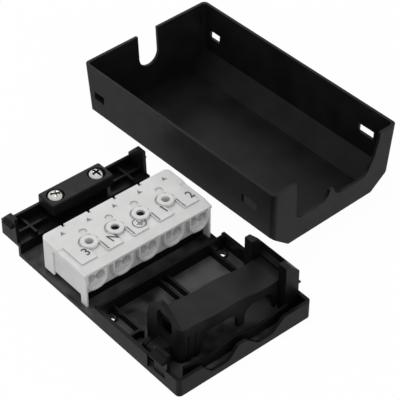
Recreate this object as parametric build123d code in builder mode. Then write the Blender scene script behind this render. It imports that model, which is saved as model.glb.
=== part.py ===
from build123d import *
import math
import os

# A cable connection box for lights and small equipment, taken apart for wiring: a moulded base with
# a five-pole push-in terminal block, a screwed cord clamp at the rear, a hinged bridge that presses
# on two cables at the front, and a clip-on cover that lies upside down beside the base.
#
# Millimetres, +Z up. The origin is the centre of the base's flat underside. +X runs across the poles,
# +Y runs from the two front cables towards the cord clamp.

# ---- driving dimensions -------------------------------------------------------------------------
running_clearance = 0.05   # radial, shaft in its hole
seat_clearance = 0.3       # beside a piece that drops into its place

# base
base_width = 52.0
base_length = 78.5         # of the flat part that stands on the wall or table
floor_thickness = 1.5
wall_thickness = 1.2
wall_height = 6.5
corner_radius = 1.5
shelf_length = 8.5         # raised part behind, which carries the cord clamp
shelf_underside = 4.0
rear_wall_gap = 0.1        # between the rear wall's top and the clamp bar
rib_thickness = 0.9
rib_height = 4.2
hole_spacing = 44.0        # between the two fixing holes
hole_radius = 1.6
hole_rim = 0.5
hole_rim_height = 0.5

# places along the base, measured from its front edge
cross_wall_front = 38.7
hole_line = 36.9
saddle_front = 3.4
tongue_front = 6.2
tongue_width = 6.0
side_wall_start = 14.4
side_wall_end = 40.3
bridge_front = 8.4
rear_barb_setback = 1.9    # the rear barbs start this far behind the flat part
clip_rear_width = 4.2

# cable dips in the front wall: centre across, width at the top, width at the bottom
dip_bottom = 2.4
dips = ((-10.0, 13.6, 6.5), (7.6, 15.0, 5.5))
dip_shoulder = 2.5         # rounding of the wall's top beside each dip

# snap tongues that hold the cover
tongue_thickness = 1.2
tongue_inset = 0.8
front_tongue_top = 11.6
rear_tongue_top = 14.4
rear_tongue_length = 8.2
rear_tongue_crest = 3.6    # length of its level top, in front of the slope
rear_tongue_low = 10.0     # foot of that slope
barb_reach = 1.2
front_barb_under = 8.8
rear_barb_under = 10.4
barb_height = 1.7
window_clearance = 0.35

# post that holds the free end of the bridge
post_front = 4.9
post_length = 18.7
post_width = 5.4
post_inset = 1.0           # outer face in from the plate's side
post_top = 19.6
post_shoulder = 16.0
post_crown = 2.0
post_flange = 3.3
post_web = 1.2
ledge_reach = 1.1
ledge_height = 2.2

# bridge that presses on the two cables
bridge_depth = 11.5
bridge_wall = 1.5
bridge_left = 7.4          # outer face of its end wall, from the plate's side
bridge_foot = 0.2          # above the floor
bridge_corner_height = 14.7
bridge_corner_radius = 2.8
bridge_end_height = 12.8
bridge_waves = ((5.9, 14.9), (16.3, 13.9), (22.4, 14.0), (27.7, 13.2))   # from the end wall: place, height
bridge_hollow = 11.3       # level of the hollow's top
ridge_places = (3.6, 6.3)  # of the two upright ridges on the leg, from the end wall
arch_height = 9.2
arch_radius = 3.8
arches = ((-10.9, 3.9), (6.4, 18.6))
web_foot = 3.0
pad_thickness = 1.2
pad_drop = 1.0
ear_rear = 23.5
ear_top = 20.8
ear_hole_width = 6.7
ear_hole_height = 9.2
ear_hole_centre = 15.4
ear_hole_level = 14.0
pivot_radius = 1.2
pivot_inset = 4.4          # from the plate's side
pivot_height = 4.4
pivot_lug = 1.5            # thickness of the two lugs that hold the pivot
pivot_wall = 1.3

# terminal block
pole_count = 5
pole_pitch = 10.0
block_gap = 5.5            # behind the cross wall
block_depth = 21.9
block_top = 15.8
block_under = 5.2
block_skirt = 3.8          # underside of the rear part, which reaches lower
block_step = 6.0           # length of that lower part, from the rear face
block_corner = 1.8         # rounding of the two upright corners behind
block_front_wall = 4.4
block_rear_wall = 4.2
block_partition = 1.4
block_ceiling = 2.6
deck_drop = 0.5            # the deck between the marking pads lies this much lower
deck_slope = 3.4           # length of the slope at its front edge
lip_drop = 1.2             # how far the front edge lies below the top
lip_height = 1.0
lip_reach = 1.8            # of the front edge and the noses, in front of the wall behind them
pad_start = 3.7            # of the marking pads, behind the block's front face
pad_width = 5.8
pad_length = 9.8
ring_radius = 2.8
ring_top = 0.6             # above the deck
ring_hole = 1.4
ring_column = 1.95
ring_place = 10.1          # behind the block's front face
ring_shift = -0.3          # from the edge between two poles
groove_width = 0.6         # round the rear half of each ring
groove_depth = 0.5
dimple_radius = 1.3        # round dimple behind each ring
dimple_depth = 0.4
dimple_shift = 1.3
dimple_place = 15.3
drop_radius = 1.1          # pointed dimple near the rear edge of each pole
drop_depth = 0.8
drop_shift = 0.9
drop_place = 18.4
notch_shift = -1.75
notch_width = 1.0
notch_length = 1.2
slit_shift = 2.5
slit_width = 0.5
slit_length = 4.6
nose_width = 7.8
nose_height = 7.8
nose_rim = 0.5
chin_drop = 0.8            # the second edge below each nose
chin_setback = 0.7
pocket_depth = 0.9
pocket_slope = 30.0        # degrees
entry_spacing = 3.4
entry_radius = 1.5
entry_height = 11.0
funnel_radius = 1.68
rear_funnel_radius = 2.25
funnel_depth = 2.0
cheek_thickness = 1.1
foot_depth = 2.8
end_recess = 0.4           # of the end faces, in front of the step in the underside

# metal inside the block
strip_width = 5.2
strip_thickness = 0.8
tab_thickness = 0.7
spring_width = 5.0
spring_thickness = 0.4
spring_slot = 0.4

# cord clamp
bar_length = 24.4
bar_width = 8.3
bar_thickness = 3.9
bar_under = 8.9
bar_setback = 3.85         # its middle, behind the flat part of the base
screw_spacing = 16.3
screw_radius = 1.45
screw_length = 7.5         # of the shank under the head
head_radius = 2.65
head_height = 1.9
head_dome = 0.75
drive_width = 0.8
cross_length = 3.2
slot_blade = 0.65
drive_depth = 1.1
recess_depth = 1.0
recess_clearance = 0.35
boss_radius = 3.3

# cover
cover_gap = 0.2            # beside the base
cover_end_gap = 1.55
cover_wall = 1.0
cover_height = 25.2
cover_side_height = 18.65
cover_chamfer = 7.6
cover_side_draft = 0.8
cover_end_draft = 1.5
cover_corner = 1.8
window_height = 3.2
opening_left = 9.5         # sides of the opening at the near end, in from the cover's own sides
opening_right = 7.7
saddle_depth = 16.2        # of the opening below the rim, at the two cables
ridge_depth = 12.1         # and between them
saddle_round = 4.2
slot_width = 8.7
slot_depth = 13.5
cover_across = 59.86       # where the cover lies, from the base's origin
cover_along = 33.98
cover_turn = 1.7           # degrees

# ---- what follows from them -----------------------------------------------------------------------
full_length = base_length + shelf_length
clip_rear_front = base_length + rear_barb_setback
post_left = base_width - post_inset - post_width
post_rear = post_front + post_length
block_front = cross_wall_front + 1.0 + block_gap
block_rear = block_front + block_depth
block_length = pole_count * pole_pitch
ceiling_height = block_top - block_ceiling
bridge_rear = bridge_front + bridge_depth
clamp_line = base_length + bar_setback
bore_radius = screw_radius + running_clearance
shelf_top = shelf_underside + floor_thickness
rear_wall_height = bar_under - rear_wall_gap


def from_left(distance):
    return distance - base_width / 2


def from_front(distance):
    return distance - base_length / 2


def across(y):
    """The upright plane at y, drawn in X and Z; a negative amount extrudes towards +Y."""
    return Plane(origin=(0, y, 0), x_dir=(1, 0, 0), z_dir=(0, -1, 0))


def along(x):
    """The upright plane at x, drawn in Y and Z; a positive amount extrudes towards +X."""
    return Plane(origin=(x, 0, 0), x_dir=(0, 1, 0), z_dir=(1, 0, 0))


def block(low, high, mode=Mode.ADD):
    """A plain block from its low corner to its high corner, in the part being built."""
    size = [b - a for a, b in zip(low, high)]
    with Locations(low):
        Box(*size, align=(Align.MIN, Align.MIN, Align.MIN), mode=mode)


def sides():
    """The two long sides of the base, as signs along X."""
    return (-1, 1)


pole_centres = [(i - (pole_count - 1) / 2) * pole_pitch for i in range(pole_count)]
pole_edges = [(i + 1 - pole_count / 2) * pole_pitch for i in range(pole_count - 1)]


# ---- base plate -----------------------------------------------------------------------------------
side = base_width / 2
middle_rib = 1.45          # from the centre line to each of the two middle ribs
rib_inset = 6.2            # of the two long ribs, from the plate's sides
cross_rib = 25.1           # of the two short ribs, from the front edge
pivot_x = from_left(pivot_inset)
pivot_centre = from_front((bridge_front + bridge_rear) / 2 + 1.2)
knuckle_length = 5.0
lug_radius = pivot_radius + running_clearance + pivot_wall
lug_gap = 0.2              # between the knuckle and each lug
ledge_under = bridge_end_height + 0.1
post_outer = side - post_inset
web_face = post_outer - post_web


def barb(sign, face, tip, under, start, width):
    """A snap barb on the side wall at face: flat underneath, sloped above, reaching out to tip."""
    with BuildSketch(across(start)) as outline:
        with BuildLine():
            Polyline(
                (sign * (face - 0.2), under),
                (sign * tip, under),
                (sign * tip, under + barb_height / 4),
                (sign * face, under + barb_height),
                (sign * (face - 0.2), under + barb_height),
                close=True,
            )
        make_face()
    extrude(outline.sketch, amount=-width)


with BuildPart() as base_plate:
    # flat floor and the wall round it, with rounded front corners
    with BuildSketch():
        with Locations((0, from_front(base_length / 2))):
            Rectangle(base_width, base_length)
        fillet(vertices().group_by(Axis.Y)[0], corner_radius)
    extrude(amount=floor_thickness)
    with BuildSketch():
        with Locations((0, from_front(side_wall_end / 2))):
            Rectangle(base_width, side_wall_end)
        fillet(vertices().group_by(Axis.Y)[0], corner_radius)
        with Locations((0, from_front(wall_thickness + side_wall_end / 2))):
            Rectangle(base_width - 2 * wall_thickness, side_wall_end, mode=Mode.SUBTRACT)
    extrude(amount=wall_height)

    # gaps in the side walls at the front snap tongues
    for sign in sides():
        with Locations((sign * side, from_front((tongue_front + side_wall_start) / 2), wall_height)):
            Box(4 * wall_thickness, side_wall_start - tongue_front, 2 * (wall_height - floor_thickness),
                mode=Mode.SUBTRACT)

    # two cable dips in the front wall
    for centre, top_width, bottom_width in dips:
        with BuildSketch(across(from_front(-1.0))):
            with BuildLine():
                Polyline(
                    (centre - top_width / 2 - dip_shoulder, 2 * wall_height),
                    (centre - top_width / 2 - dip_shoulder, wall_height),
                    (centre - top_width / 2, wall_height),
                    (centre - bottom_width / 2, dip_bottom),
                    (centre + bottom_width / 2, dip_bottom),
                    (centre + top_width / 2, wall_height),
                    (centre + top_width / 2 + dip_shoulder, wall_height),
                    (centre + top_width / 2 + dip_shoulder, 2 * wall_height),
                    close=True,
                )
            make_face()
            fillet(vertices().group_by(Axis.Y)[0], dip_bottom)
            fillet(vertices().group_by(Axis.Y)[1].sort_by(Axis.X)[1:3], dip_shoulder)
        extrude(amount=-(1.0 + wall_thickness + 0.1), mode=Mode.SUBTRACT)

    # wavy rib just behind the wall, on which the cables lie
    with BuildSketch(across(from_front(saddle_front))):
        with BuildLine():
            crest = wall_height - 0.1
            trough = wall_height - 1.7
            left, right = dips[0][0], dips[1][0]
            top = Spline(
                (from_left(5.0), crest),
                (left - 2.0, trough),
                ((left + right) / 2, crest),
                (right - 0.5, trough),
                (post_left - side, crest),
                tangents=((1, -0.2), (1, 0.1)),
            )
            Line(top @ 1, (post_left - side, floor_thickness - 0.1))
            Line((post_left - side, floor_thickness - 0.1), (from_left(5.0), floor_thickness - 0.1))
            Line((from_left(5.0), floor_thickness - 0.1), top @ 0)
        make_face()
    extrude(amount=-rib_thickness)

    # wall across the floor in front of the terminal block, and low ribs
    block((-side, from_front(cross_wall_front), 0), (side, from_front(cross_wall_front + 1), wall_height))
    for sign in sides():
        inner = side - rib_inset - rib_thickness
        low, high = sorted((sign * inner, sign * (inner + rib_thickness)))
        block((low, from_front(post_rear + 0.8), 0), (high, from_front(cross_wall_front), rib_height))
        low, high = sorted((sign * inner, sign * (side - wall_thickness)))
        block((low, from_front(cross_rib), 0), (high, from_front(cross_rib + rib_thickness), rib_height))
        block((sign * middle_rib - rib_thickness / 2, from_front(bridge_rear - 1.0), 0),
              (sign * middle_rib + rib_thickness / 2, from_front(cross_wall_front), rib_height - 0.2))

    # seats of the terminal block: two low walls under it and an upstand behind it
    seat_half = block_length / 2 - 2.0
    for start, level in ((block_front + lip_reach + 0.6, block_under), (block_rear - 2.6, block_skirt)):
        block((-seat_half, from_front(start), 0), (seat_half, from_front(start + 1.2), level))
    for centre in pole_centres[::2]:
        block((centre - 3.0, from_front(block_rear + seat_clearance), 0),
              (centre + 3.0, from_front(block_rear + seat_clearance + 1.2), block_under + 3.0))

    # raised shelf behind, its riser and the rear wall
    block((-side, from_front(base_length - wall_thickness), 0), (side, from_front(base_length), shelf_top))
    block((-side, from_front(base_length), shelf_underside), (side, from_front(full_length), shelf_top))
    block((-side, from_front(full_length - 1.0), shelf_underside),
          (side, from_front(full_length), rear_wall_height))

    # ribs on the shelf, one along and one across on each side of the clamp
    for sign in sides():
        low, high = sorted((sign * (side - rib_inset - rib_thickness), sign * (side - rib_inset)))
        block((low, from_front(base_length - 1.0), shelf_underside),
              (high, from_front(full_length - 1.0), shelf_top + 1.8))
        low, high = sorted((sign * side, sign * (bar_length / 2 + 0.6)))
        block((low, from_front(clamp_line - 1.7), shelf_underside),
              (high, from_front(clamp_line - 1.7 + rib_thickness), shelf_top + 1.8))

    # screw bosses of the cord clamp, and two ridges under the cord
    for sign in sides():
        with Locations((sign * screw_spacing / 2, from_front(clamp_line), shelf_underside)):
            Cylinder(boss_radius, bar_under - shelf_underside,
                     align=(Align.CENTER, Align.CENTER, Align.MIN))
    for offset_y in (-2.2, 1.3):
        block((-slot_width / 2, from_front(clamp_line + offset_y), shelf_underside),
              (slot_width / 2, from_front(clamp_line + offset_y + rib_thickness), shelf_top + 0.7))

    # the cord leaves through a round dip in the rear wall
    with BuildSketch(across(from_front(full_length + 1.0))):
        with Locations((0, shelf_top + slot_width / 2)):
            Circle(slot_width / 2)
        with Locations((0, shelf_top + slot_width)):
            Rectangle(slot_width, slot_width)
    extrude(amount=2.1, mode=Mode.SUBTRACT)

    # snap tongues with outward barbs: two at the rear corners, one at the front left
    for sign in sides():
        with BuildSketch(along(min(sign * side, sign * (side - tongue_thickness)))):
            start = full_length - rear_tongue_length
            with BuildLine():
                Polyline(
                    (from_front(start), shelf_underside),
                    (from_front(start + 0.6), rear_tongue_top),
                    (from_front(start + 0.6 + rear_tongue_crest), rear_tongue_top),
                    (from_front(full_length), rear_tongue_low),
                    (from_front(full_length), shelf_underside),
                    close=True,
                )
            make_face()
        extrude(amount=tongue_thickness)
        barb(sign, side, side + barb_reach, rear_barb_under, from_front(clip_rear_front), clip_rear_width)
    tongue_face = side - tongue_inset
    block((-tongue_face, from_front(tongue_front), 0),
          (-tongue_face + tongue_thickness, from_front(tongue_front + tongue_width), front_tongue_top))
    barb(-1, tongue_face, side + barb_reach, front_barb_under, from_front(tongue_front), tongue_width)

    # C-shaped post: its channel takes the bridge's free end, under a sloped ledge
    with BuildSketch(across(from_front(post_front))):
        with BuildLine():
            Polyline(
                (post_left - side, 0),
                (post_outer, 0),
                (post_outer, post_shoulder),
                (post_left - side + post_crown, post_top),
                (post_left - side, post_top),
                close=True,
            )
        make_face()
    extrude(amount=-post_length)
    block((post_left - side - 1.0, from_front(post_front + post_flange), floor_thickness),
          (web_face, from_front(post_rear - post_flange), post_top + 1.0), mode=Mode.SUBTRACT)
    with BuildSketch(across(from_front(post_front + post_flange - 0.1))):
        with BuildLine():
            Polyline(
                (web_face + 0.1, ledge_under),
                (web_face - ledge_reach, ledge_under),
                (web_face - ledge_reach, ledge_under + 0.4),
                (web_face + 0.1, ledge_under + ledge_height),
                close=True,
            )
        make_face()
    extrude(amount=-(post_length - 2 * post_flange + 0.2))
    barb(1, post_outer, side + barb_reach, front_barb_under, from_front(tongue_front), tongue_width)

    # two lugs that hold the bridge's pivot
    for sign in (-1, 1):
        centre_y = pivot_centre + sign * (knuckle_length / 2 + lug_gap + pivot_lug / 2)
        with BuildSketch(across(centre_y - pivot_lug / 2)):
            with Locations((pivot_x, pivot_height)):
                Circle(lug_radius)
            with Locations((pivot_x, pivot_height / 2)):
                Rectangle(2 * lug_radius, pivot_height)
            with Locations((pivot_x, pivot_height)):
                Circle(pivot_radius + running_clearance, mode=Mode.SUBTRACT)
        extrude(amount=-pivot_lug)

    # holes: two for fixing the base, with a raised rim, and two for the clamp screws
    for sign in sides():
        with Locations((sign * hole_spacing / 2, from_front(hole_line), 0)):
            Cylinder(hole_radius + hole_rim, floor_thickness + hole_rim_height,
                     align=(Align.CENTER, Align.CENTER, Align.MIN))
            Cylinder(hole_radius, 2 * wall_height, mode=Mode.SUBTRACT)
        with Locations((sign * screw_spacing / 2, from_front(clamp_line), 0)):
            Cylinder(bore_radius, 4 * bar_under, mode=Mode.SUBTRACT)

# ---- terminal block housing -----------------------------------------------------------------------
block_side = block_length / 2
chamber_front = block_front + block_front_wall
chamber_rear = block_rear - block_rear_wall
ring_line = block_front + ring_place

deck_level = block_top - deck_drop
lip_level = block_top - lip_drop
pad_rear = pad_start + pad_length


def nose_outline(place, width, bottom, top):
    """D-shaped outlines in the upright plane at place, one per pole: square above and round below."""
    with BuildSketch(across(from_front(place))) as outline:
        with Locations([(centre, (bottom + top) / 2) for centre in pole_centres]):
            Rectangle(width, top - bottom)
        fillet(vertices().group_by(Axis.Y)[0], width / 2 - 0.3)
    return outline.sketch


with BuildPart() as terminal_housing:
    # side outline, drawn out over all poles
    with BuildSketch(along(-block_side)):
        with BuildLine():
            Polyline(
                (from_front(block_front + lip_reach), block_under),
                (from_front(block_rear - block_step), block_under),
                (from_front(block_rear - block_step), block_skirt),
                (from_front(block_rear), block_skirt),
                (from_front(block_rear), block_top),
                (from_front(block_front + pad_rear), block_top),
                (from_front(block_front + pad_rear - 0.6), deck_level),
                (from_front(block_front + deck_slope), deck_level),
                (from_front(block_front), lip_level),
                (from_front(block_front), lip_level - lip_height),
                (from_front(block_front + lip_reach), lip_level - 2 * lip_height),
                close=True,
            )
        make_face()
    extrude(amount=block_length)
    fillet(edges().filter_by(Axis.Z).group_by(Axis.Y)[-1], block_corner)

    # cheeks at both ends, with a foot at each front corner
    for sign in sides():
        low, high = sorted((sign * block_side, sign * (block_side - cheek_thickness)))
        block((low, from_front(block_front), block_under),
              (high, from_front(block_front + lip_reach + 0.1), lip_level))
        block((low, from_front(block_front), floor_thickness),
              (high, from_front(block_front + foot_depth), block_under + 2.0))

        # the end face steps in, in front of the lower rear part
        low, high = sorted((sign * (block_side + 1.0), sign * (block_side - end_recess)))
        block((low, from_front(block_front - 1.0), 0),
              (high, from_front(block_rear - block_step), lip_level - lip_height), mode=Mode.SUBTRACT)

    # chambers for the contacts, open below
    for centre in pole_centres:
        block((centre - (pole_pitch - block_partition) / 2, from_front(chamber_front), 0),
              (centre + (pole_pitch - block_partition) / 2, from_front(chamber_rear), ceiling_height),
              mode=Mode.SUBTRACT)

    # one nose per pole in front, with a second edge below it
    nose_bottom = lip_level - nose_height
    extrude(nose_outline(block_front, nose_width, nose_bottom, lip_level), amount=-(lip_reach + 0.1))
    extrude(nose_outline(block_front + chin_setback, nose_width, nose_bottom - chin_drop, lip_level),
            amount=-(lip_reach + 0.1 - chin_setback))

    # raised marking pads, and a groove round the rear half of each ring
    for centre in pole_centres:
        block((centre - pad_width / 2, from_front(block_front + pad_start), deck_level - 0.5),
              (centre + pad_width / 2, from_front(block_front + pad_rear), block_top))
    ring_places = [(edge + ring_shift, from_front(ring_line)) for edge in pole_edges]
    for x, y in ring_places:
        with BuildSketch(Plane.XY.offset(block_top)):
            with Locations((x, y)):
                Circle(ring_radius + groove_width)
            with Locations((x, y - ring_radius)):
                Rectangle(4 * ring_radius, 2 * ring_radius, mode=Mode.SUBTRACT)
        extrude(amount=-groove_depth, mode=Mode.SUBTRACT)

    # fixing rings on columns between the poles; the two middle ones are open right through
    with Locations([(x, y, block_under) for x, y in ring_places]):
        Cylinder(ring_column, block_top - block_under, align=(Align.CENTER, Align.CENTER, Align.MIN))
    with Locations([(x, y, deck_level - 0.5) for x, y in ring_places]):
        Cylinder(ring_radius, deck_drop + 0.5 + ring_top, align=(Align.CENTER, Align.CENTER, Align.MIN))
    for i, (x, y) in enumerate(ring_places):
        depth = block_top if i in (1, 2) else 3.0
        with Locations((x, y, block_top + ring_top)):
            Cylinder(ring_hole, 2 * depth, mode=Mode.SUBTRACT)

    # slits beside the marking pads, notches at the rear edge and the dimples of the mould's pins
    for edge in pole_edges:
        block((edge + slit_shift, from_front(block_front + pad_start + 0.3), block_top - 1.5),
              (edge + slit_shift + slit_width, from_front(block_front + pad_start + 0.3 + slit_length),
               block_top + 1.0), mode=Mode.SUBTRACT)
        block((edge + notch_shift - notch_width / 2, from_front(block_rear - notch_length), block_top - 2.0),
              (edge + notch_shift + notch_width / 2, from_front(block_rear + 1.0), block_top + 1.0),
              mode=Mode.SUBTRACT)
        with Locations((edge + dimple_shift, from_front(block_front + dimple_place), block_top)):
            Cylinder(dimple_radius, 2 * dimple_depth, mode=Mode.SUBTRACT)
    with BuildSketch(Plane.XY.offset(block_top)):
        drop_line = from_front(block_front + drop_place)
        with Locations([(centre + drop_shift, drop_line) for centre in pole_centres]):
            RegularPolygon(drop_radius, 3, rotation=90)
    extrude(amount=-drop_depth, mode=Mode.SUBTRACT)

    # pocket in each nose, narrowing towards two funnel-shaped wire entries
    pocket = nose_outline(block_front, nose_width - 2 * nose_rim,
                          nose_bottom + nose_rim, lip_level - nose_rim)
    extrude(pocket, amount=-pocket_depth, taper=pocket_slope, mode=Mode.SUBTRACT)

# wire entries: two per pole in front, one per pole behind
with BuildPart() as wire_entries:
    throat_place = from_front(block_front + pocket_depth + funnel_depth)
    front_entries = [
        (centre + offset_x, throat_place, entry_height)
        for centre in pole_centres
        for offset_x in (-entry_spacing / 2, entry_spacing / 2)
    ]
    with Locations(front_entries):
        Cone(entry_radius, funnel_radius, funnel_depth + 0.1, rotation=(90, 0, 0),
             align=(Align.CENTER, Align.CENTER, Align.MIN))
        Cylinder(entry_radius, block_front_wall, rotation=(-90, 0, 0),
                 align=(Align.CENTER, Align.CENTER, Align.MIN))
    rear_entries = [(centre, from_front(block_rear - funnel_depth), entry_height) for centre in pole_centres]
    with Locations(rear_entries):
        Cone(entry_radius, rear_funnel_radius, funnel_depth + 0.1, rotation=(-90, 0, 0),
             align=(Align.CENTER, Align.CENTER, Align.MIN))
        Cylinder(entry_radius, block_rear_wall, rotation=(90, 0, 0),
                 align=(Align.CENTER, Align.CENTER, Align.MIN))

with BuildPart() as drilled_housing:
    add(terminal_housing.part)
    add(wire_entries.part, mode=Mode.SUBTRACT)

# ---- contacts and springs -------------------------------------------------------------------------
strip_start = chamber_front + 0.4
strip_end = chamber_rear - 0.4
tab_front = ring_line - tab_thickness / 2
strip_under = ceiling_height - strip_thickness
tab_foot = block_under + 0.8


def contact(centre):
    """Bent brass strip: flat under the chamber's ceiling, with a tab down its middle."""
    with BuildPart() as strip:
        with BuildSketch(along(centre - strip_width / 2)):
            with BuildLine():
                Polyline(
                    (from_front(strip_start), ceiling_height),
                    (from_front(strip_end), ceiling_height),
                    (from_front(strip_end), strip_under),
                    (from_front(tab_front + tab_thickness), strip_under),
                    (from_front(tab_front + tab_thickness), tab_foot),
                    (from_front(tab_front), tab_foot),
                    (from_front(tab_front), strip_under),
                    (from_front(strip_start), strip_under),
                    close=True,
                )
            make_face()
        extrude(amount=strip_width)
    return strip.part


def leaf_spring(centre, foot, direction, reach, tongues):
    """V-shaped leaf spring: a leg along the chamber's bottom, a round bend, and a leg up to the strip."""
    bend = 0.9
    half = spring_thickness / 2
    low = tab_foot + half
    high = low + 2 * bend
    near = from_front(foot)
    far = near + direction * reach
    tip = near + direction * (reach - 3.0)
    rise = strip_under - spring_thickness
    width = spring_width if tongues == 2 else spring_width - 1.4
    with BuildPart() as spring:
        with BuildSketch(along(centre - width / 2)):
            with BuildLine():
                Line((near, low - half), (far, low - half))
                ThreePointArc((far, low - half), (far + direction * (bend + half), low + bend),
                              (far, high + half))
                Polyline((far, high + half), (tip, rise + half), (tip, rise - half), (far, high - half))
                ThreePointArc((far, high - half), (far + direction * (bend - half), low + bend),
                              (far, low + half))
                Polyline((far, low + half), (near, low + half), (near, low - half))
            make_face()
        extrude(amount=width)
        if tongues == 2:
            start, end = sorted((near + direction * 1.2, near + direction * (reach + 2 * bend)))
            block((centre - spring_slot / 2, start, 0), (centre + spring_slot / 2, end, strip_under),
                  mode=Mode.SUBTRACT)
    return spring.part


# ---- cable bridge ---------------------------------------------------------------------------------
bridge_x = from_left(bridge_left)
bridge_tip = web_face - ledge_reach - 0.1
foot_level = floor_thickness + bridge_foot

with BuildPart() as cable_bridge:
    # saddle-shaped top, drawn out over the bridge's depth
    with BuildSketch(across(from_front(bridge_front))):
        with BuildLine():
            top = Spline(
                (bridge_x, bridge_corner_height),
                *[(bridge_x + place, height) for place, height in bridge_waves],
                (bridge_tip - 3.0, bridge_end_height),
            )
            Polyline(
                top @ 1,
                (bridge_tip, bridge_end_height),
                (bridge_tip, bridge_end_height - bridge_wall - 1.0),
                (arches[1][1], foot_level),
                (bridge_x, foot_level),
                top @ 0,
            )
        make_face()
    extrude(amount=-bridge_depth)

    # two arches through it, and the hollow under the top between the front and rear walls
    for start, end in arches:
        with BuildSketch(across(from_front(bridge_front - 1))):
            with Locations(((start + end) / 2, arch_height / 2)):
                Rectangle(end - start, arch_height)
            fillet(vertices().group_by(Axis.Y)[-1], arch_radius)
        extrude(amount=-(bridge_depth + 2), mode=Mode.SUBTRACT)

    block((arches[0][1] - 0.1, from_front(bridge_front - 1), 0),
          (arches[1][0] + 0.1, from_front(bridge_rear + 1), web_foot), mode=Mode.SUBTRACT)

    # hollow in the leg and under the top
    block((bridge_x + bridge_wall, from_front(bridge_front + bridge_wall), 0),
          (arches[0][0] - bridge_wall, from_front(bridge_rear - bridge_wall),
           bridge_corner_height - bridge_wall), mode=Mode.SUBTRACT)
    block((arches[0][0], from_front(bridge_front + bridge_wall), 0),
          (arches[1][1] + 0.6, from_front(bridge_rear - bridge_wall),
           bridge_hollow), mode=Mode.SUBTRACT)

    # two pressure ribs across each arch
    for start, end in arches:
        for offset_y in (3.4, 6.9):
            block((start + 0.5, from_front(bridge_front + offset_y), arch_height - pad_drop),
                  (end - 0.5, from_front(bridge_front + offset_y + pad_thickness), arch_height + 2.4))

    # end wall that stands above the top, with an upright slot
    with BuildSketch(along(bridge_x)):
        with BuildLine():
            crown = Spline(
                (from_front(bridge_front), bridge_corner_height - 1.0),
                (from_front(bridge_front + 4.6), ear_top - 2.4),
                (from_front(bridge_front + 9.6), ear_top),
                (from_front(ear_rear - 1.6), ear_top - 4.0),
                (from_front(ear_rear), ear_top - 9.0),
            )
            Line(crown @ 1, (from_front(ear_rear), foot_level))
            Line((from_front(ear_rear), foot_level), (from_front(bridge_front), foot_level))
            Line((from_front(bridge_front), foot_level), crown @ 0)
        make_face()
    extrude(amount=bridge_wall)
    with BuildSketch(along(bridge_x - 1.0)):
        with Locations((from_front(ear_hole_centre), ear_hole_level)):
            SlotOverall(ear_hole_height, ear_hole_width, rotation=90)
    extrude(amount=bridge_wall + 1.1, mode=Mode.SUBTRACT)

    # broad rounding of the upright corner in front
    with BuildSketch(Plane.XY):
        with Locations((bridge_x, from_front(bridge_front))):
            Rectangle(bridge_corner_radius, bridge_corner_radius, align=(Align.MIN, Align.MIN))
        with Locations((bridge_x + bridge_corner_radius, from_front(bridge_front) + bridge_corner_radius)):
            Circle(bridge_corner_radius, mode=Mode.SUBTRACT)
    extrude(amount=2 * ear_top, mode=Mode.SUBTRACT)

    # two upright ridges on the front of the leg
    for offset_x in ridge_places:
        block((bridge_x + offset_x - 0.35, from_front(bridge_front - 0.35), foot_level),
              (bridge_x + offset_x + 0.35, from_front(bridge_front + 0.2), bridge_corner_height - 3.4))

    # knuckle and pivot pins, which turn in the two lugs of the base
    knuckle_radius = pivot_height - floor_thickness - 0.5
    pin_half = knuckle_length / 2 + lug_gap + pivot_lug
    with BuildSketch(across(pivot_centre - knuckle_length / 2)):
        with Locations((pivot_x, pivot_height)):
            Circle(knuckle_radius)
        with BuildLine():
            Polyline(
                (pivot_x, pivot_height + knuckle_radius),
                (bridge_x + 0.2, pivot_height + knuckle_radius),
                (bridge_x + 0.2, foot_level),
                (pivot_x, pivot_height - knuckle_radius),
                close=True,
            )
        make_face()
    extrude(amount=-knuckle_length)
    with BuildSketch(across(pivot_centre - pin_half)):
        with Locations((pivot_x, pivot_height)):
            Circle(pivot_radius)
    extrude(amount=-2 * pin_half)

# ---- cord clamp -----------------------------------------------------------------------------------
bar_top = bar_under + bar_thickness
head_seat = bar_top - recess_depth

with BuildPart() as cord_clamp_bar:
    with BuildSketch(Plane.XY.offset(bar_under)):
        with Locations((0, from_front(clamp_line))):
            Rectangle(bar_length, bar_width)
        fillet(vertices(), 0.8)
    extrude(amount=bar_thickness)
    chamfer(faces().sort_by(Axis.Z)[-1].outer_wire().edges(), 0.35)
    # teeth that bite into the cord
    for offset_y in (-2.6, -0.45, 1.7):
        block((-slot_width / 2, from_front(clamp_line + offset_y), bar_under - 0.8),
              (slot_width / 2, from_front(clamp_line + offset_y + rib_thickness), bar_under + 0.2))
    for sign in sides():
        with Locations((sign * screw_spacing / 2, from_front(clamp_line), bar_top)):
            CounterBoreHole(bore_radius, head_radius + recess_clearance, recess_depth)


def clamp_screw(sign):
    """Pan-head screw with a combined cross and slot drive, its head on the bar's recess."""
    with BuildPart() as screw:
        with Locations((0, 0, head_seat - screw_length)):
            Cylinder(screw_radius, screw_length, align=(Align.CENTER, Align.CENTER, Align.MIN))
        chamfer(edges().sort_by(Axis.Z)[0], 0.4)
        with Locations((0, 0, head_seat)):
            Cylinder(head_radius, head_height, align=(Align.CENTER, Align.CENTER, Align.MIN))
        chamfer(edges().sort_by(Axis.Z)[-1], head_dome)
        with BuildSketch(Plane.XY.offset(head_seat + head_height)):
            Rectangle(drive_width, cross_length)
            Rectangle(2 * head_radius + 1, slot_blade)
        extrude(amount=-drive_depth, mode=Mode.SUBTRACT)
    turned = screw.part.rotate(Axis.Z, 35 if sign > 0 else -20)
    return turned.moved(Location((sign * screw_spacing / 2, from_front(clamp_line), 0)))


# ---- cover, upside down beside the base -----------------------------------------------------------
cover_half = side + cover_gap + cover_wall
cover_length = full_length + 2 * (cover_end_gap + cover_wall)
chamfer_level = cover_height - cover_side_height


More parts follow.
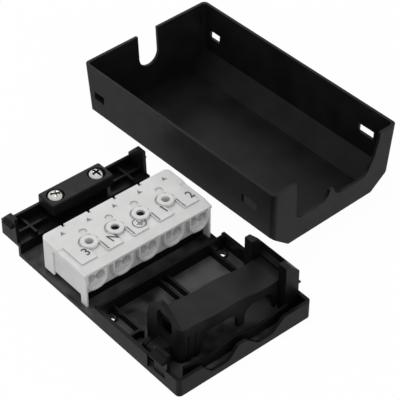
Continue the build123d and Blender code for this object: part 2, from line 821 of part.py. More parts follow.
def cover_form(inset, panel):
    """The cover's outer form, or its hollow when inset; panel is the level of its lowest face."""
    half = cover_half - inset
    end = cover_length / 2 - inset
    lift = panel * 0.45
    with BuildPart() as form:
        with BuildSketch(across(-cover_length)):
            with BuildLine():
                Polyline(
                    (half, cover_height + panel),
                    (half - cover_side_draft, chamfer_level + lift),
                    (half - cover_side_draft - cover_chamfer + lift, panel),
                    (-half + cover_side_draft + cover_chamfer - lift, panel),
                    (-half + cover_side_draft, chamfer_level + lift),
                    (-half, cover_height + panel),
                    close=True,
                )
            make_face()
        extrude(amount=-2 * cover_length)
        with BuildSketch(along(-2 * cover_half)) as lengthways:
            with BuildLine():
                Polyline(
                    (-end, cover_height + panel),
                    (-end + cover_end_draft, panel),
                    (end - cover_end_draft, panel),
                    (end, cover_height + panel),
                    close=True,
                )
            make_face()
        extrude(amount=4 * cover_half, mode=Mode.INTERSECT)
        corners = edges().filter_by(lambda e: abs(e.tangent_at(0).Z) > 0.8)
        corners = corners.filter_by(lambda e: e.length > cover_side_height * 0.9)
        fillet(corners, cover_corner - inset * 0.6)
    return form.part


def rim_level(depth):
    return cover_height - depth


with BuildPart() as upturned_cover:
    add(cover_form(0, 0))
    add(cover_form(cover_wall, cover_wall + 0.2), mode=Mode.SUBTRACT)

    # wide opening with two saddles in the near end, over the two cables
    left = opening_left - cover_half
    right = cover_half - opening_right
    with BuildSketch(across(-cover_length / 2 - 1)):
        with BuildLine():
            Polyline(
                (right, cover_height + 1),
                (right, rim_level(1.2)),
                (right - 1.4, rim_level(ridge_depth - 2.6)),
                (right - 3.0, rim_level(ridge_depth + 0.5)),
            )
            ThreePointArc(
                (right - 3.0, rim_level(ridge_depth + 0.5)),
                (right - 4.4, rim_level(saddle_depth - 0.9)),
                (right - 3.0 - saddle_round, rim_level(saddle_depth)),
            )
            Line((right - 3.0 - saddle_round, rim_level(saddle_depth)),
                 (saddle_round, rim_level(saddle_depth)))
            ThreePointArc(
                (saddle_round, rim_level(saddle_depth)),
                (saddle_round / 3, rim_level(saddle_depth - 1.3)),
                (0, rim_level(ridge_depth)),
            )
            Line((0, rim_level(ridge_depth)), (-1.6, rim_level(ridge_depth)))
            ThreePointArc(
                (-1.6, rim_level(ridge_depth)),
                (-2.8, rim_level(saddle_depth - 1.3)),
                (-1.6 - saddle_round, rim_level(saddle_depth)),
            )
            Line((-1.6 - saddle_round, rim_level(saddle_depth)),
                 (left + saddle_round, rim_level(saddle_depth)))
            ThreePointArc(
                (left + saddle_round, rim_level(saddle_depth)),
                (left + 1.9, rim_level(saddle_depth - 1.1)),
                (left + 1.1, rim_level(saddle_depth - 3.2)),
            )
            Polyline(
                (left + 1.1, rim_level(saddle_depth - 3.2)), (left, rim_level(0)), (left, cover_height + 1),
                (right, cover_height + 1),
            )
        make_face()
    extrude(amount=-(2 + cover_wall + cover_end_draft), mode=Mode.SUBTRACT)

    # round-bottomed slot for the cord in the far end
    with BuildSketch(across(cover_length / 2 + 1)):
        with Locations((0, rim_level(slot_depth - slot_width / 2))):
            Circle(slot_width / 2)
        with Locations((0, rim_level(slot_depth - slot_width / 2) + slot_depth)):
            Rectangle(slot_width, 2 * slot_depth)
    extrude(amount=2 + cover_wall + cover_end_draft, mode=Mode.SUBTRACT)

    # four windows for the snap tongues' barbs
    front_window = from_front(tongue_front + tongue_width / 2) - from_front(full_length / 2)
    rear_window = from_front(clip_rear_front + clip_rear_width / 2) - from_front(full_length / 2)
    windows = (
        (front_window, tongue_width, front_barb_under),
        (rear_window, clip_rear_width, rear_barb_under),
    )
    for place, width, under in windows:
        with Locations((0, place, rim_level(under + barb_height / 2))):
            Box(3 * cover_half, width + 2 * window_clearance, window_height, mode=Mode.SUBTRACT)

cover_place = Location((cover_across, cover_along, 0), (0, 0, cover_turn))
cover = upturned_cover.part.moved(cover_place)

# ---- write one STEP file per piece ----------------------------------------------------------------
pieces = {
    "base_plate": base_plate.part,
    "cover": cover,
    "terminal_housing": drilled_housing.part,
    "cable_bridge": cable_bridge.part,
    "cord_clamp_bar": cord_clamp_bar.part,
    "clamp_screw_left": clamp_screw(-1),
    "clamp_screw_right": clamp_screw(1),
}
pole_names = ("3", "n", "earth", "1", "2")
front_reach = tab_front - chamber_front - 1.5
rear_reach = chamber_rear - tab_front - tab_thickness - 2.0
for name, centre in zip(pole_names, pole_centres):
    pieces["contact_" + name] = contact(centre)
    pieces["front_spring_" + name] = leaf_spring(centre, tab_front, -1, front_reach, 2)
    pieces["rear_spring_" + name] = leaf_spring(centre, tab_front + tab_thickness, 1, rear_reach, 1)

os.makedirs("parts", exist_ok=True)
for name, piece in pieces.items():
    piece.label = name
    export_step(piece, "parts/" + name + ".step")
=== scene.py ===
# %% [markdown]
# # A cable junction box, opened on a pale table
#
# The object is a small black connection box, taken apart for wiring. The base carries a white
# five-pole terminal block, a cord clamp with two bright screws and a bridge that presses on two
# cables. The cover lies upside down beside it. This lesson dresses the solid parts: it sets up
# the camera and a soft light, gives every moulding its own plastic and the metal parts their
# plating, and then models what the solid parts leave out: the domed and threaded clamp screws,
# two pegs in the block and the printed pole marks.

# %% Load the solid parts
import math

import bpy
from mathutils import Matrix, Vector


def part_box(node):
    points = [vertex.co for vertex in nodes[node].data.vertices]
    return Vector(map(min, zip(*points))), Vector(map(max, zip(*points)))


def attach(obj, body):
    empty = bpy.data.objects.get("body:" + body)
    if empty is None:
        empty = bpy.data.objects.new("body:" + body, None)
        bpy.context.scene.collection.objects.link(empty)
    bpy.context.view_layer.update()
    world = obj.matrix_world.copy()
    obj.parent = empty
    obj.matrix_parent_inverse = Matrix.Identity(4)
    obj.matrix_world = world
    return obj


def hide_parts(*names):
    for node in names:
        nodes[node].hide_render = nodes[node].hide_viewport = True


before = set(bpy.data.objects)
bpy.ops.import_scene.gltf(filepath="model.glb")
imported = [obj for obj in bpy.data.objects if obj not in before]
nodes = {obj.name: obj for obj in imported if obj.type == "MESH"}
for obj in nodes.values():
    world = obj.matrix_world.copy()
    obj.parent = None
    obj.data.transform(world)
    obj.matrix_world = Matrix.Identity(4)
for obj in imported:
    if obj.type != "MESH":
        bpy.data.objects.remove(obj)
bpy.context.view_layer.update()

MM = 0.001

# %% [markdown]
# ## The camera
#
# A view of a small product is taken from far away with a long lens, so that parallel edges stay
# nearly parallel. The camera stands 0.54 m away, to the left of and above the cable end. It
# could be turned by typed angles, but a camera that is pointed at a target by a track
# quaternion is easier to adjust: the place and the target are the only two things to change. A
# very small roll is added last.

# %% Place the camera
CAMERA_PLACE = Vector((-0.24103, -0.30187, 0.37341))
CAMERA_TARGET = Vector((0.01988, 0.00557, 0.02004))
CAMERA_LENS = 156.476
CAMERA_ROLL = math.radians(0.14)

lens = bpy.data.cameras.new("product_lens")
lens.lens = CAMERA_LENS
lens.sensor_width = 36.0
camera = bpy.data.objects.new("product_camera", lens)
bpy.context.scene.collection.objects.link(camera)
gaze = (CAMERA_TARGET - CAMERA_PLACE).to_track_quat("-Z", "Y").to_matrix().to_4x4()
camera.matrix_world = Matrix.Translation(CAMERA_PLACE) @ gaze @ Matrix.Rotation(CAMERA_ROLL, 4, "Z")
bpy.context.scene.camera = camera
print("camera distance:", round((CAMERA_TARGET - CAMERA_PLACE).length, 3), "m")

# %% [markdown]
# ## The floor and the light
#
# The table is white and endless, as in a catalogue picture. Raising the lamps until the floor
# turns white would also bleach the white block, so the floor gets a strength of its own, but
# only for what the camera, a mirror or a piece of glass sees directly. For all other rays it is
# an ordinary pale surface.

# %% Floor and world
FLOOR_SIZE = 6.0
FLOOR_GAP = 0.02 * MM
FLOOR_GREY = 0.82
FLOOR_SHARE = 0.97          # of the white ground in what is seen directly
WORLD_LIGHT = 0.55


def seen_directly(tree):
    """An output that is 1 for camera, glossy and transmission rays, and else 0."""
    path = tree.nodes.new("ShaderNodeLightPath")
    total = path.outputs["Is Camera Ray"]
    for kind in ("Is Glossy Ray", "Is Transmission Ray"):
        either = tree.nodes.new("ShaderNodeMath")
        either.operation = "MAXIMUM"
        tree.links.new(total, either.inputs[0])
        tree.links.new(path.outputs[kind], either.inputs[1])
        total = either.outputs[0]
    return total


def new_finish(name):
    """A new material, with its node tree and its surface shader."""
    finish = bpy.data.materials.new(name)
    finish.use_nodes = True
    tree = finish.node_tree
    return finish, tree, tree.nodes["Principled BSDF"]


def make_floor():
    bpy.ops.object.select_all(action="DESELECT")
    bpy.ops.mesh.primitive_plane_add(size=FLOOR_SIZE, location=(0.0, 0.0, -FLOOR_GAP))
    floor = bpy.context.object
    floor.name = "table"
    floor.data.materials.append(table_finish())
    return floor


def table_finish():
    """A white table: a matt surface that keeps the object's soft shadow, on a white ground."""
    finish, tree, surface = new_finish("white_table")
    surface.inputs["Base Color"].default_value = (FLOOR_GREY, FLOOR_GREY, FLOOR_GREY, 1.0)
    surface.inputs["Roughness"].default_value = 0.9
    surface.inputs["Specular IOR Level"].default_value = 0.1
    glow = tree.nodes.new("ShaderNodeEmission")
    glow.inputs["Strength"].default_value = 1.0
    mix = tree.nodes.new("ShaderNodeMixShader")
    share = tree.nodes.new("ShaderNodeMath")
    share.operation = "MULTIPLY"
    share.inputs[1].default_value = FLOOR_SHARE
    tree.links.new(seen_directly(tree), share.inputs[0])
    tree.links.new(share.outputs[0], mix.inputs[0])
    tree.links.new(surface.outputs[0], mix.inputs[1])
    tree.links.new(glow.outputs[0], mix.inputs[2])
    tree.links.new(mix.outputs[0], tree.nodes["Material Output"].inputs["Surface"])
    return finish


def make_world():
    world = bpy.data.worlds.new("soft_studio")
    bpy.context.scene.world = world
    world.use_nodes = True
    tree = world.node_tree
    ground = tree.nodes["Background"]
    mix = tree.nodes.new("ShaderNodeMix")
    mix.data_type = "FLOAT"
    mix.inputs["A"].default_value = WORLD_LIGHT
    mix.inputs["B"].default_value = 1.0
    tree.links.new(seen_directly(tree), mix.inputs["Factor"])
    tree.links.new(mix.outputs["Result"], ground.inputs["Strength"])
    ground.inputs["Color"].default_value = (1.0, 1.0, 1.0, 1.0)


make_floor()
make_world()


# %% [markdown]
# ## Three soft lamps
#
# Black plastic shows lamps twice: as light on its surface and as a pale haze where the lamp is
# mirrored. The two large lamps would cover every black face with haze, so they are hidden from
# glossy rays and only light the surfaces. The small edge lamp stays visible, for glints on the
# screws and the rims.


# %% Lamps
def soft_lamp(name, place, target, size, power, mirrored):
    data = bpy.data.lights.new(name, "AREA")
    data.shape = "SQUARE"
    data.size = size
    data.energy = power
    lamp = bpy.data.objects.new(name, data)
    bpy.context.scene.collection.objects.link(lamp)
    direction = Vector(target) - Vector(place)
    gaze = direction.to_track_quat("-Z", "Y").to_matrix().to_4x4()
    lamp.matrix_world = Matrix.Translation(place) @ gaze
    lamp.visible_glossy = mirrored


MIDDLE = (0.02, 0.0, 0.01)
soft_lamp("key_lamp", (-0.25, 0.35, 0.85), MIDDLE, 0.5, 3.2, mirrored=False)
soft_lamp("front_lamp", (-0.3, -0.8, 0.4), MIDDLE, 0.6, 2.5, mirrored=False)
soft_lamp("edge_lamp", (0.5, 0.75, 0.6), MIDDLE, 0.25, 1.2, mirrored=True)
bpy.context.scene.view_settings.view_transform = "Standard"

# %% [markdown]
# ## Moulded plastic
#
# The black parts are injection moulded. Such plastic isn't a flat black: it has a fine
# spark-eroded grain, a slightly uneven sheen, and edges that are rounded by a tenth of a
# millimetre and catch the light. Rounding every edge in the mesh would be heavy, so the
# shader's Bevel node bends the normals at the edges instead.


# %% Plastic finishes
CLOUDS, SHEEN, GRAIN = 0.12, 0.5, 4.0       # lumps per millimetre


def noise(tree, scale, detail=2.0):
    """A noise texture on object coordinates; scale is in lumps per millimetre."""
    place = tree.nodes.new("ShaderNodeTexCoord")
    texture = tree.nodes.new("ShaderNodeTexNoise")
    texture.inputs["Scale"].default_value = scale / MM
    texture.inputs["Detail"].default_value = detail
    tree.links.new(place.outputs["Object"], texture.inputs["Vector"])
    return texture.outputs["Fac"]


def ramp(tree, source, low, high, low_at=0.3, high_at=0.7):
    """A colour that goes from low to high between two values of the source."""
    node = tree.nodes.new("ShaderNodeValToRGB")
    for element, place, colour in zip(node.color_ramp.elements, (low_at, high_at), (low, high)):
        element.position = place
        element.color = (*colour, 1.0)
    tree.links.new(source, node.inputs["Fac"])
    return node.outputs["Color"]


def spread(tree, source, low, high, low_at=0.0, high_at=1.0):
    """The source's values from low_at to high_at, stretched to run from low to high."""
    node = tree.nodes.new("ShaderNodeMapRange")
    node.inputs["From Min"].default_value = low_at
    node.inputs["From Max"].default_value = high_at
    node.inputs["To Min"].default_value = low
    node.inputs["To Max"].default_value = high
    tree.links.new(source, node.inputs["Value"])
    return node.outputs["Result"]


def rounded_edges(tree, radius):
    """The normals of a surface whose edges are rounded by the radius."""
    node = tree.nodes.new("ShaderNodeBevel")
    node.samples = 6
    node.inputs["Radius"].default_value = radius
    return node.outputs["Normal"]


def moulded_plastic(name, dark, light, rough, shine, edge=0.12 * MM, grain=0.006 * MM, glow=0.0):
    """A moulded plastic: clouds from dark to light, roughness between the two values of rough."""
    finish, tree, surface = new_finish(name)
    tree.links.new(ramp(tree, noise(tree, CLOUDS, 3.0), dark, light), surface.inputs["Base Color"])
    tree.links.new(spread(tree, noise(tree, SHEEN), *rough), surface.inputs["Roughness"])
    surface.inputs["Specular IOR Level"].default_value = shine
    if glow:
        surface.inputs["Subsurface Weight"].default_value = glow
        surface.inputs["Subsurface Radius"].default_value = (1.0, 1.0, 0.9)
        surface.inputs["Subsurface Scale"].default_value = 2.0 * MM
    bump = tree.nodes.new("ShaderNodeBump")
    bump.inputs["Strength"].default_value = 0.25
    bump.inputs["Distance"].default_value = grain
    tree.links.new(noise(tree, GRAIN), bump.inputs["Height"])
    tree.links.new(rounded_edges(tree, edge), bump.inputs["Normal"])
    tree.links.new(bump.outputs["Normal"], surface.inputs["Normal"])
    return finish


def dress(node_name, finish):
    """Puts a finish on a solid part, in all of its slots."""
    part = nodes[node_name]
    if not part.data.materials:
        part.data.materials.append(finish)
    for place in range(len(part.data.materials)):
        part.data.materials[place] = finish


BLACK = (0.0040, 0.0040, 0.0043)
bridge_black = moulded_plastic("bridge_black", BLACK, (0.011, 0.011, 0.011), (0.36, 0.52), 0.12)
cover_black = moulded_plastic("cover_black", BLACK, (0.0085, 0.0085, 0.0090), (0.42, 0.56), 0.11)
dress("cable_bridge", bridge_black)
dress("cord_clamp_bar", bridge_black)
dress("cover", cover_black)
for finish in (bridge_black, cover_black):
    print(finish.name, "nodes:", len(finish.node_tree.nodes))

# %% [markdown]
# ## The base's polished floor
#
# The base's inner floor was moulded against a polished face of the tool, so it mirrors the room
# in soft patches, while the walls are matt. The same patches are also lightened in colour, as a
# painted reflection of the pale room. A second material on the floor's faces would need them
# picked out one by one. It is simpler to let one material tell them apart: a face is floor if it
# lies below a level and points up. Both tests read the mesh's own coordinates, so they hold in
# every view.

# %% Base finish
FLOOR_LEVEL = 1.6 * MM
POINTS_UP = 0.7


def calculate(tree, operation, first, second):
    """A math node on the first value and on a second one, which is a value or an output."""
    node = tree.nodes.new("ShaderNodeMath")
    node.operation = operation
    tree.links.new(first, node.inputs[0])
    if isinstance(second, float):
        node.inputs[1].default_value = second
    else:
        tree.links.new(second, node.inputs[1])
    return node.outputs[0]


def blend_input(tree, socket, kind, share, new):
    """Mixes new into what feeds the socket already, by the share."""
    node = tree.nodes.new("ShaderNodeMix")
    node.data_type = kind
    tree.links.new(share, node.inputs["Factor"])
    tree.links.new(socket.links[0].from_socket, node.inputs["A"])
    tree.links.new(new, node.inputs["B"])
    tree.links.new(node.outputs["Result"], socket)


def height_of(tree, output):
    """The Z part of the texture coordinate with the output's name."""
    place = tree.nodes.new("ShaderNodeTexCoord")
    axes = tree.nodes.new("ShaderNodeSeparateXYZ")
    tree.links.new(place.outputs[output], axes.inputs[0])
    return axes.outputs["Z"]


base_black = moulded_plastic("base_black", (0.0028, 0.0028, 0.0030), (0.0062, 0.0062, 0.0066),
                             (0.34, 0.48), 0.10)
tree = base_black.node_tree
surface = tree.nodes["Principled BSDF"]
low = calculate(tree, "LESS_THAN", height_of(tree, "Object"), FLOOR_LEVEL)
upward = calculate(tree, "GREATER_THAN", height_of(tree, "Normal"), POINTS_UP)
is_floor = calculate(tree, "MULTIPLY", low, upward)
patches = noise(tree, 0.09)
gloss = ramp(tree, patches, (0.12, 0.12, 0.12), (0.30, 0.30, 0.30))
# painted reflection: the floor's colour is lightened in the glossy patches
painted_reflection = ramp(tree, patches, (0.012, 0.012, 0.012), (0.085, 0.085, 0.085), 0.35, 0.62)
blend_input(tree, surface.inputs["Roughness"], "FLOAT", is_floor, gloss)
blend_input(tree, surface.inputs["Base Color"], "RGBA", is_floor, painted_reflection)
dress("base_plate", base_black)
print(base_black.name, "floor below", round(FLOOR_LEVEL / MM, 1), "mm")

# %% [markdown]
# ## The white block
#
# The terminal block is moulded in an unfilled white plastic that lets a little light through,
# so its thin noses look pale even where no lamp reaches them. Subsurface scattering does this.
# Its grooves, slits and pockets get painted shade: their colour is darkened in every recess. A
# painted mask would do, but an ambient occlusion node finds every recess by itself.


# %% Block finish
def paint_shade_in_hollows(finish, reach, dark, darkest):
    """Painted shade: mixes the colour towards dark where other faces lie within reach, as in
    grooves.
    """
    tree = finish.node_tree
    hollow = tree.nodes.new("ShaderNodeAmbientOcclusion")
    hollow.samples = 8
    hollow.inputs["Distance"].default_value = reach
    unshaded_share = spread(tree, hollow.outputs["AO"], darkest, 1.0, 0.35, 0.95)
    # painted shade: the colour goes dark where the occlusion finds faces within reach
    painted_shade = tree.nodes.new("ShaderNodeMix")
    painted_shade.data_type = "RGBA"
    painted_shade.inputs["A"].default_value = (dark, dark, dark, 1.0)
    socket = tree.nodes["Principled BSDF"].inputs["Base Color"]
    tree.links.new(unshaded_share, painted_shade.inputs["Factor"])
    tree.links.new(socket.links[0].from_socket, painted_shade.inputs["B"])
    tree.links.new(painted_shade.outputs["Result"], socket)


white_block = moulded_plastic("block_white", (0.59, 0.59, 0.585), (0.65, 0.65, 0.645), (0.42, 0.52),
                              0.4, edge=0.25 * MM, glow=0.4)
# painted shade in the block's grooves, slits and pockets
paint_shade_in_hollows(white_block, 0.7 * MM, 0.22, 0.6)
dress("terminal_housing", white_block)
print(white_block.name, "nodes:", len(white_block.node_tree.nodes))

# %% [markdown]
# ## Plated metal
#
# The clamp screws are nickel plated, the contact strips are brass and the leaf springs are
# spring steel. Metal has no colour of its own but what it mirrors, so each finish is a tint and
# a roughness, both a little uneven as on barrel-plated small parts. The screws' drive recesses
# get painted shade: their colour is darkened where the recess walls stand near.


# %% Metal finishes
def plated_metal(name, colour, rough):
    finish, tree, surface = new_finish(name)
    surface.inputs["Metallic"].default_value = 1.0
    clouds = noise(tree, 0.6, 3.0)
    shade = ramp(tree, clouds, [part * 0.85 for part in colour], colour)
    tree.links.new(shade, surface.inputs["Base Color"])
    tree.links.new(spread(tree, clouds, rough * 0.7, rough * 1.3), surface.inputs["Roughness"])
    tree.links.new(rounded_edges(tree, 0.08 * MM), surface.inputs["Normal"])
    return finish


nickel = plated_metal("bright_nickel", (0.62, 0.62, 0.60), 0.2)
# painted shade in the screws' drive recesses
paint_shade_in_hollows(nickel, 1.5 * MM, 0.03, 0.15)
brass = plated_metal("tinned_brass", (0.72, 0.58, 0.32), 0.3)
spring_steel = plated_metal("spring_steel", (0.6, 0.6, 0.6), 0.3)
METALS = {"clamp_screw": nickel, "contact": brass, "front_spring": spring_steel,
          "rear_spring": spring_steel}
for start, metal in METALS.items():
    group = [name for name in nodes if name.startswith(start)]
    for name in group:
        dress(name, metal)
    print(start, "pieces:", len(group))

# %% [markdown]
# ## Working in edit mode
#
# The next pieces are modelled as by hand: a primitive is added at its size and place, then
# shaped in edit mode. What every piece needs could be written out each time, but small helpers
# keep the steps readable: they clear the selection, open a piece with chosen faces selected,
# inset and lift a face, move a piece's place into its mesh, cut a shape out of a piece, smooth
# it and copy it.


# %% Helpers for modelling
def begin(*pieces):
    """Leaves edit mode and selects only the given pieces, the first one active."""
    if bpy.context.object and bpy.context.object.mode != "OBJECT":
        bpy.ops.object.mode_set(mode="OBJECT")
    bpy.ops.object.select_all(action="DESELECT")
    for piece in pieces:
        piece.select_set(True)
    if pieces:
        bpy.context.view_layer.objects.active = pieces[0]


def edit_faces(piece, chosen):
    """Opens the piece for editing with only the faces selected for which chosen(face) is true."""
    begin(piece)
    bpy.ops.object.mode_set(mode="EDIT")
    bpy.ops.mesh.select_mode(type="FACE")
    bpy.ops.mesh.select_all(action="DESELECT")
    bpy.ops.object.mode_set(mode="OBJECT")
    for face in piece.data.polygons:
        face.select = chosen(face)
    bpy.ops.object.mode_set(mode="EDIT")


def faces_up(face):
    return face.normal.z > 0.5


def faces_down(face):
    return face.normal.z < -0.5


def inset_and_lift(steps):
    """Insets the selected face and lifts it, once for each pair of millimetres in steps."""
    for inset, lift in steps:
        bpy.ops.mesh.inset(thickness=inset * MM, depth=0.0)
        bpy.ops.transform.translate(value=(0, 0, lift * MM))


def settle(piece):
    """Puts the piece's place into its mesh, so that the object itself sits at the origin."""
    begin(piece)
    bpy.ops.object.transform_apply(location=True, rotation=True, scale=True)


def cut_away(piece, cutter):
    """Cuts the cutter's shape out of the piece and deletes the cutter."""
    begin(piece)
    cut = piece.modifiers.new("cut", "BOOLEAN")
    cut.operation = "DIFFERENCE"
    cut.solver = "EXACT"
    cut.object = cutter
    bpy.ops.object.modifier_apply(modifier=cut.name)
    bpy.data.objects.remove(cutter)


def smooth(piece, angle):
    begin(piece)
    bpy.ops.object.shade_smooth_by_angle(angle=math.radians(angle))


def copy_of(piece, name):
    """A copy of the piece, with a mesh of its own."""
    begin(piece)
    bpy.ops.object.duplicate(linked=False)
    twin = bpy.context.object
    twin.name = name
    return twin


# %% [markdown]
# ## Screw head
#
# Each clamp screw has a domed head with a cross and a slot in one, so that either driver fits.
# The dome could be turned from a profile, but it is quicker to start from a short cylinder and
# to inset and lift its top face a few times: every step gives one ring of the dome. The drive
# is cut with three blocks that taper downwards, as the punch does that forms it.

# %% Screw head
SEAT = 11.8 * MM            # the bottom of the recess in the clamp bar
HEAD_RADIUS = 2.65 * MM
HEAD_RIM = 0.65 * MM
DOME_RINGS = ((0.22, 0.36), (0.34, 0.32), (0.50, 0.27), (0.6, 0.17))
CROSS_LENGTH, CROSS_WIDTH, CROSS_DEPTH = 3.7 * MM, 1.0 * MM, 1.15 * MM
SLOT_LENGTH, SLOT_WIDTH, SLOT_DEPTH = 6.4 * MM, 0.62 * MM, 0.75 * MM
DRIVE_TAPER = 0.62
CLEAR = 0.1 * MM            # how far a cutter stands out of the dome


def tapered_block(length, width, depth, top):
    """A block that narrows downwards, with its top face just above the level top."""
    begin()
    bpy.ops.mesh.primitive_cube_add(size=1.0, location=(0, 0, top - depth / 2 + CLEAR))
    blade = bpy.context.object
    blade.dimensions = (length, width, depth + 2 * CLEAR)
    settle(blade)
    edit_faces(blade, faces_down)
    bpy.ops.transform.resize(value=(DRIVE_TAPER, DRIVE_TAPER, 1.0), center_override=(0, 0, 0))
    bpy.ops.object.mode_set(mode="OBJECT")
    return blade


begin()
bpy.ops.mesh.primitive_cylinder_add(vertices=56, radius=HEAD_RADIUS, depth=HEAD_RIM,
                                    location=(0, 0, SEAT + HEAD_RIM / 2))
head = bpy.context.object
settle(head)
edit_faces(head, faces_up)
inset_and_lift(DOME_RINGS)
bpy.ops.object.mode_set(mode="OBJECT")
dome_top = SEAT + HEAD_RIM + sum(lift for _, lift in DOME_RINGS) * MM
cut_away(head, tapered_block(CROSS_LENGTH, CROSS_WIDTH, CROSS_DEPTH, dome_top))
cut_away(head, tapered_block(CROSS_WIDTH, CROSS_LENGTH, CROSS_DEPTH, dome_top))
cut_away(head, tapered_block(SLOT_LENGTH, SLOT_WIDTH, SLOT_DEPTH, dome_top))
smooth(head, 28)
print("head:", round((dome_top - SEAT) / MM, 2), "mm high,", len(head.data.polygons), "faces")

# %% [markdown]
# ## Screw thread
#
# The screws bite into plastic bosses, with a ridge that rises by half a millimetre each turn. A
# helix of stacked rings would be easy but wrong: a thread climbs. So one ridge is drawn as an
# open profile, a flank, a narrow crest and a flank, and the Screw modifier carries it round and
# up. A plain core with a chamfered tip fills the inside.

# %% Screw thread
THREAD_RADIUS = 1.45 * MM
CORE_RADIUS = 1.05 * MM
CORE_OVERLAP = 0.03 * MM
PITCH = 0.5 * MM
CREST = 0.25                # of the pitch
PLAIN_TIP = 1.2 * MM        # from the tip to the first ridge
TIP_CHAMFER, TIP_INSET = 0.5 * MM, 0.45


def edit_edges(piece, chosen):
    """Opens the piece for editing, with the edges selected whose ends pass chosen(point)."""
    begin(piece)
    bpy.ops.object.mode_set(mode="EDIT")
    bpy.ops.mesh.select_mode(type="EDGE")
    bpy.ops.mesh.select_all(action="DESELECT")
    bpy.ops.object.mode_set(mode="OBJECT")
    points = piece.data.vertices
    for edge in piece.data.edges:
        edge.select = all(chosen(points[end].co) for end in edge.vertices)
    bpy.ops.object.mode_set(mode="EDIT")


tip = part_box("clamp_screw_left")[0][2]
begin()
bpy.ops.mesh.primitive_plane_add(size=1.0, location=(0, 0, 0))
ridge = bpy.context.object
ridge.dimensions = (THREAD_RADIUS - CORE_RADIUS, PITCH, 0)
settle(ridge)
edit_faces(ridge, faces_up)
bpy.ops.mesh.delete(type="ONLY_FACE")
edit_edges(ridge, lambda point: point.x < 0)
bpy.ops.mesh.delete(type="EDGE")
edit_edges(ridge, lambda point: point.x > 0)
bpy.ops.transform.resize(value=(1.0, CREST, 1.0), center_override=(0, 0, 0))
bpy.ops.object.mode_set(mode="OBJECT")
ridge.rotation_euler.x = math.radians(90)
ridge.location = ((THREAD_RADIUS + CORE_RADIUS) / 2, 0, tip + PLAIN_TIP)
settle(ridge)

climb = ridge.modifiers.new("climb", "SCREW")
climb.axis = "Z"
climb.screw_offset = PITCH
climb.iterations = int((SEAT - tip - PLAIN_TIP) / PITCH)
climb.steps = 20
climb.render_steps = 20
climb.use_merge_vertices = True
climb.use_normal_flip = True
print("thread:", climb.iterations, "turns")
bpy.ops.object.modifier_apply(modifier=climb.name)

foot = tip + TIP_CHAMFER
begin()
bpy.ops.mesh.primitive_cylinder_add(vertices=28, radius=CORE_RADIUS + CORE_OVERLAP,
                                    depth=SEAT - foot, location=(0, 0, (SEAT + foot) / 2))
core = bpy.context.object
settle(core)
edit_faces(core, faces_down)
inset_and_lift(((TIP_INSET, -TIP_CHAMFER / MM),))
bpy.ops.object.mode_set(mode="OBJECT")
begin(core, ridge)
bpy.ops.object.join()
smooth(core, 35)

# %% [markdown]
# ## Two screws
#
# Both screws are the same part, so one is modelled and copied. They were tightened by hand,
# which is why their drives point in different directions. Each replaces its plain solid and
# rides the body of that screw, so that it rises and turns with it.

# %% Place the screws
DRIVE_TURNS = {"left": 62, "right": 98}

begin(head, core)
bpy.ops.object.join()
head.data.materials.clear()
head.data.materials.append(nickel)
head.name = "screw_left"
screws = {"left": head, "right": copy_of(head, "screw_right")}
for side, screw in screws.items():
    node = "clamp_screw_" + side
    low_corner, high_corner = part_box(node)
    screw.rotation_euler.z = math.radians(DRIVE_TURNS[side])
    screw.location = ((low_corner[0] + high_corner[0]) / 2, (low_corner[1] + high_corner[1]) / 2, 0)
    settle(screw)
    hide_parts(node)
    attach(screw, "screw_" + side)
    print(screw.name, "faces:", len(screw.data.polygons))

# %% [markdown]
# ## Pegs in the block
#
# The two middle rings of the terminal block sit over black pegs of the base, so they look dark
# while the outer two look pale. A flat-topped cylinder would show no glint, so its top is inset
# twice: once to give a chamfered rim, and once to sink a shallow cup, as moulded pegs have.

# %% Pegs
PEG_RADIUS = 1.25 * MM
PEG_FOOT = 1.5 * MM
PEG_TOP = 15.5 * MM
PEG_RINGS = ((0.25, 0.15), (0.4, -0.5))
PEG_LEFT_X = -5.3 * MM
RING_Y = 16.05 * MM
POLE_PITCH = 10.0 * MM

begin()
bpy.ops.mesh.primitive_cylinder_add(vertices=32, radius=PEG_RADIUS, depth=PEG_TOP - PEG_FOOT,
                                    location=(PEG_LEFT_X, RING_Y, (PEG_TOP + PEG_FOOT) / 2))
peg_left = bpy.context.object
peg_left.name = "peg_left"
settle(peg_left)
edit_faces(peg_left, faces_up)
inset_and_lift(PEG_RINGS)
bpy.ops.object.mode_set(mode="OBJECT")
smooth(peg_left, 40)
peg_left.data.materials.append(bridge_black)
peg_right = copy_of(peg_left, "peg_right")
peg_right.location.x = POLE_PITCH
settle(peg_right)
for peg in (peg_left, peg_right):
    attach(peg, "base")
    print(peg.name, "top:", round((PEG_TOP + PEG_RINGS[0][1] * MM) / MM, 2), "mm")

# %% [markdown]
# ## Printed letters
#
# The poles are marked 3, N, protective earth, 1 and 2, in a dark grey print, turned a little as
# a pad printer leaves them. An image would be the usual way, but a letter is quickly made as a
# text that becomes a mesh, two hundredths of a millimetre thick, and it then stays sharp from
# any distance.

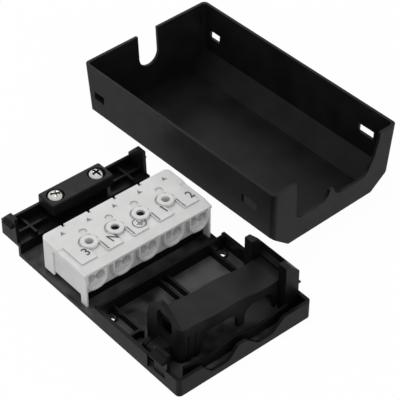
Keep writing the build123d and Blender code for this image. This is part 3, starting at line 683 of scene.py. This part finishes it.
# %% Printed marks
PAD_TOP = 15.8 * MM
PRINT_LIFT = 0.02 * MM
PRINT_THICKNESS = 0.02 * MM
MARK_Y = 13.2 * MM
MARK_TURN = math.radians(7)
LETTER_SIZE = 4.7 * MM
LETTER_NARROWING = 0.9
LETTER_BOLDNESS = 0.05 * MM
LETTERS = {"3": -18.6, "N": -8.3, "1": 11.8, "2": 22.3}
ink = moulded_plastic("grey_print", (0.055, 0.055, 0.055), (0.085, 0.085, 0.085), (0.5, 0.7), 0.2,
                      edge=0.01 * MM, grain=0.001 * MM)


def finish_mark(mark, name, x):
    """Lays the mark on its pad and prints it in grey."""
    mark.name = name
    mark.rotation_euler.z = MARK_TURN
    mark.location = (x * MM, MARK_Y, PAD_TOP + PRINT_LIFT)
    settle(mark)
    mark.data.materials.clear()
    mark.data.materials.append(ink)
    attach(mark, "base")
    print(mark.name, "width:", round(mark.dimensions.x / MM, 2), "mm")


for letter, x in LETTERS.items():
    begin()
    bpy.ops.object.text_add(location=(0, 0, 0))
    text = bpy.context.object.data
    text.body = letter
    text.size = LETTER_SIZE
    text.align_x = "CENTER"
    text.align_y = "CENTER"
    text.extrude = PRINT_THICKNESS / 2
    text.offset = LETTER_BOLDNESS
    bpy.ops.object.convert(target="MESH")
    bpy.context.object.scale.x = LETTER_NARROWING
    finish_mark(bpy.context.object, "mark_" + letter, x)

# %% [markdown]
# ## Earth mark
#
# The general sign for protective earth is a ring round one upright bar and three level ones of
# falling length. No font can be trusted to hold it, so the ring is one disc with a smaller one
# cut out, and each bar is a thin block.

# %% Earth mark
EARTH_X = 1.9
EARTH_RADIUS = 2.3 * MM
EARTH_HOLE = 1.98 * MM
EARTH_BARS = ((0.62, 0.3, 1.5), (-0.1, 2.5, 0.3), (-0.65, 1.6, 0.3), (-1.15, 0.8, 0.3))

begin()
bpy.ops.mesh.primitive_cylinder_add(vertices=48, radius=EARTH_RADIUS, depth=PRINT_THICKNESS)
ring = bpy.context.object
begin()
bpy.ops.mesh.primitive_cylinder_add(vertices=48, radius=EARTH_HOLE, depth=5 * PRINT_THICKNESS)
cut_away(ring, bpy.context.object)
bars = []
for y, width, height in EARTH_BARS:
    begin()
    bpy.ops.mesh.primitive_cube_add(size=1.0, location=(0, y * MM, 0))
    bars.append(bpy.context.object)
    bars[-1].dimensions = (width * MM, height * MM, PRINT_THICKNESS)
    settle(bars[-1])
begin(ring, *bars)
bpy.ops.object.join()
finish_mark(ring, "mark_earth", EARTH_X)
